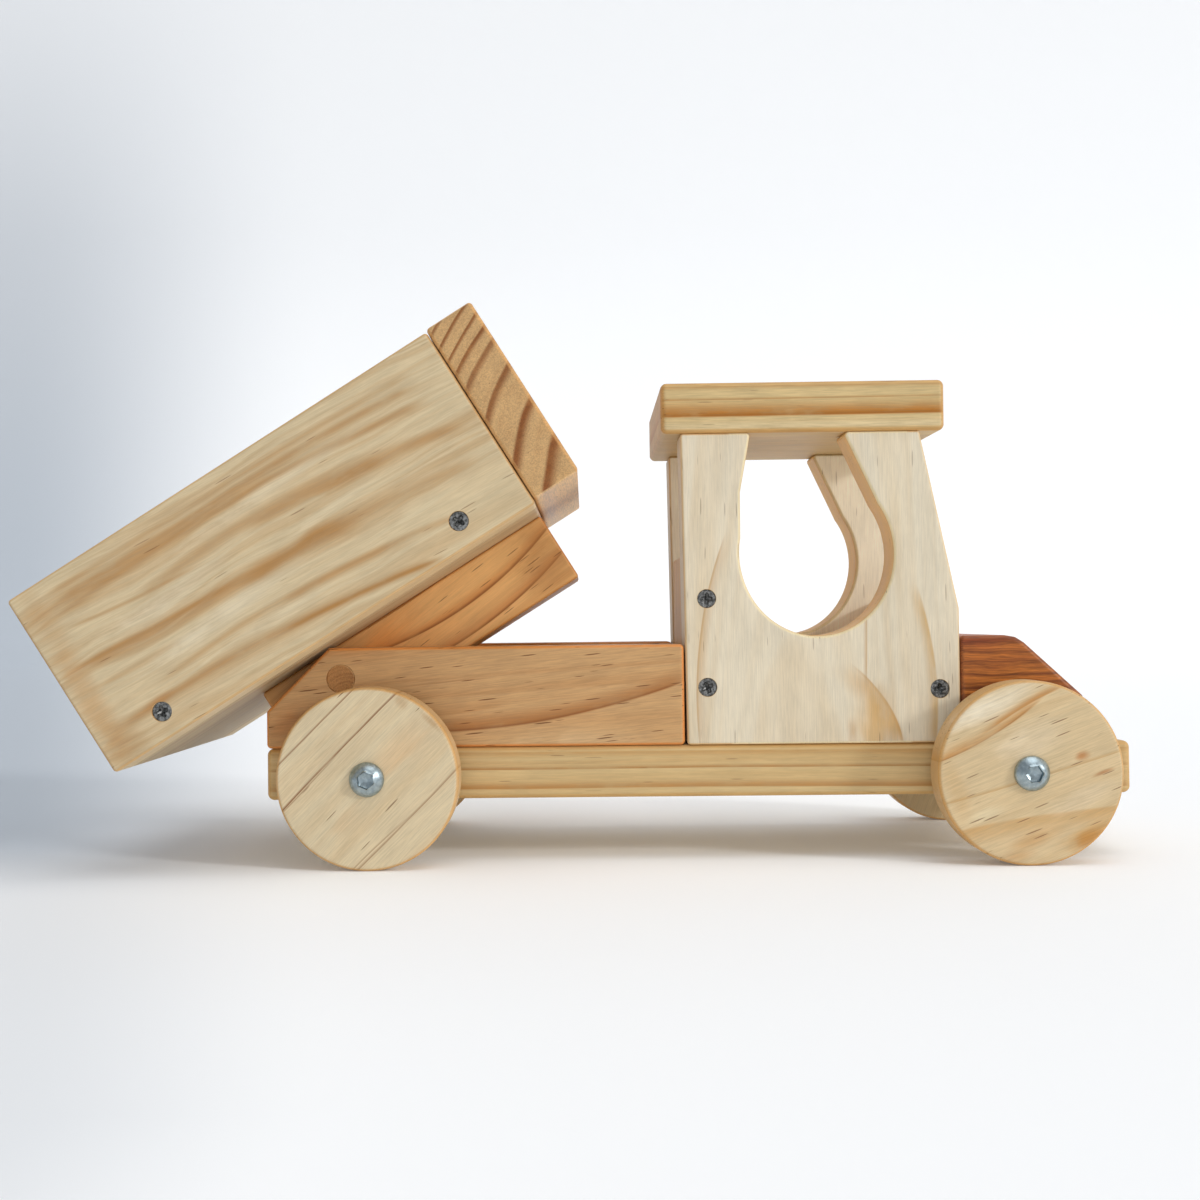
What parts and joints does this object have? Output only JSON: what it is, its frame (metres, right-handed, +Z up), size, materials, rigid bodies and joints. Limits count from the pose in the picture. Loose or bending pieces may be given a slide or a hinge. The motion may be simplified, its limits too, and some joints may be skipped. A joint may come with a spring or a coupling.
{
  "type": "toy dump truck",
  "caption": "Wooden toy dump truck: plank chassis with a cab and a hood block, rolling wheels and a load bed that tips about a dowel.",
  "frame": {"origin": "middle of the truck's outline on the ground, with the bed tipped", "axes": "+X towards the nose, +Y towards the truck's left side, +Z up"},
  "size_m": [0.4501, 0.186, 0.2243],
  "materials": {
    "pine_pale": "oiled satin",
    "pine_golden": "oiled satin",
    "pine_orange": "oiled satin",
    "pine_wheel": "oiled satin",
    "hood_hardwood": "oiled satin",
    "dowel_wood": "oiled satin",
    "zinc_steel": "bright zinc plate",
    "screw_steel": "dull plated"
  },
  "bodies": {
    "chassis": {"chassis_board": "pine_golden", "rail_left": "pine_orange", "rail_right": "pine_orange", "pivot_dowel": "dowel_wood", "cab_side_left": "pine_pale", "cab_side_right": "pine_pale", "cab_back_wall": "pine_golden", "cab_front_wall": "pine_golden", "cab_roof": "pine_golden", "hood_block": "hood_hardwood", "wheel_bolt_front_left": "zinc_steel", "wheel_bolt_front_right": "zinc_steel", "wheel_bolt_rear_left": "zinc_steel", "wheel_bolt_rear_right": "zinc_steel", "wheel_spacer_front_left": "zinc_steel", "wheel_spacer_front_right": "zinc_steel", "wheel_spacer_rear_left": "zinc_steel", "wheel_spacer_rear_right": "zinc_steel", "rail_screws": "screw_steel", "cab_base_screws": "screw_steel", "hood_screws": "screw_steel", "cab_screws": "screw_steel", "roof_screws": "screw_steel"},
    "bed": {"bed_floor": "pine_pale", "bed_side_left": "pine_pale", "bed_side_right": "pine_pale", "bed_headboard": "pine_orange", "tip_block": "pine_orange", "bed_side_screws": "screw_steel", "headboard_screws": "screw_steel", "tip_block_screws": "screw_steel"},
    "wheel_front_left": {"wheel_front_left": "pine_wheel"},
    "wheel_front_right": {"wheel_front_right": "pine_wheel"},
    "wheel_rear_left": {"wheel_rear_left": "pine_wheel"},
    "wheel_rear_right": {"wheel_rear_right": "pine_wheel"}
  },
  "joints": [
    {"name": "bed_tip", "type": "hinge", "parent": "chassis", "child": "bed", "pos_m": [-0.10153, 0, 0.07655], "axis": [0, 1, 0], "range_deg": [0, 32.3]},
    {"name": "wheel_front_left_spin", "type": "hinge", "parent": "chassis", "child": "wheel_front_left", "pos_m": [0.17767, 0.0665, 0.0369], "axis": [0, 1, 0], "continuous": true},
    {"name": "wheel_front_right_spin", "type": "hinge", "parent": "chassis", "child": "wheel_front_right", "pos_m": [0.17767, -0.0665, 0.0369], "axis": [0, 1, 0], "continuous": true},
    {"name": "wheel_rear_left_spin", "type": "hinge", "parent": "chassis", "child": "wheel_rear_left", "pos_m": [-0.08773, 0.0665, 0.0369], "axis": [0, 1, 0], "continuous": true},
    {"name": "wheel_rear_right_spin", "type": "hinge", "parent": "chassis", "child": "wheel_rear_right", "pos_m": [-0.08773, -0.0665, 0.0369], "axis": [0, 1, 0], "continuous": true}
  ]
}
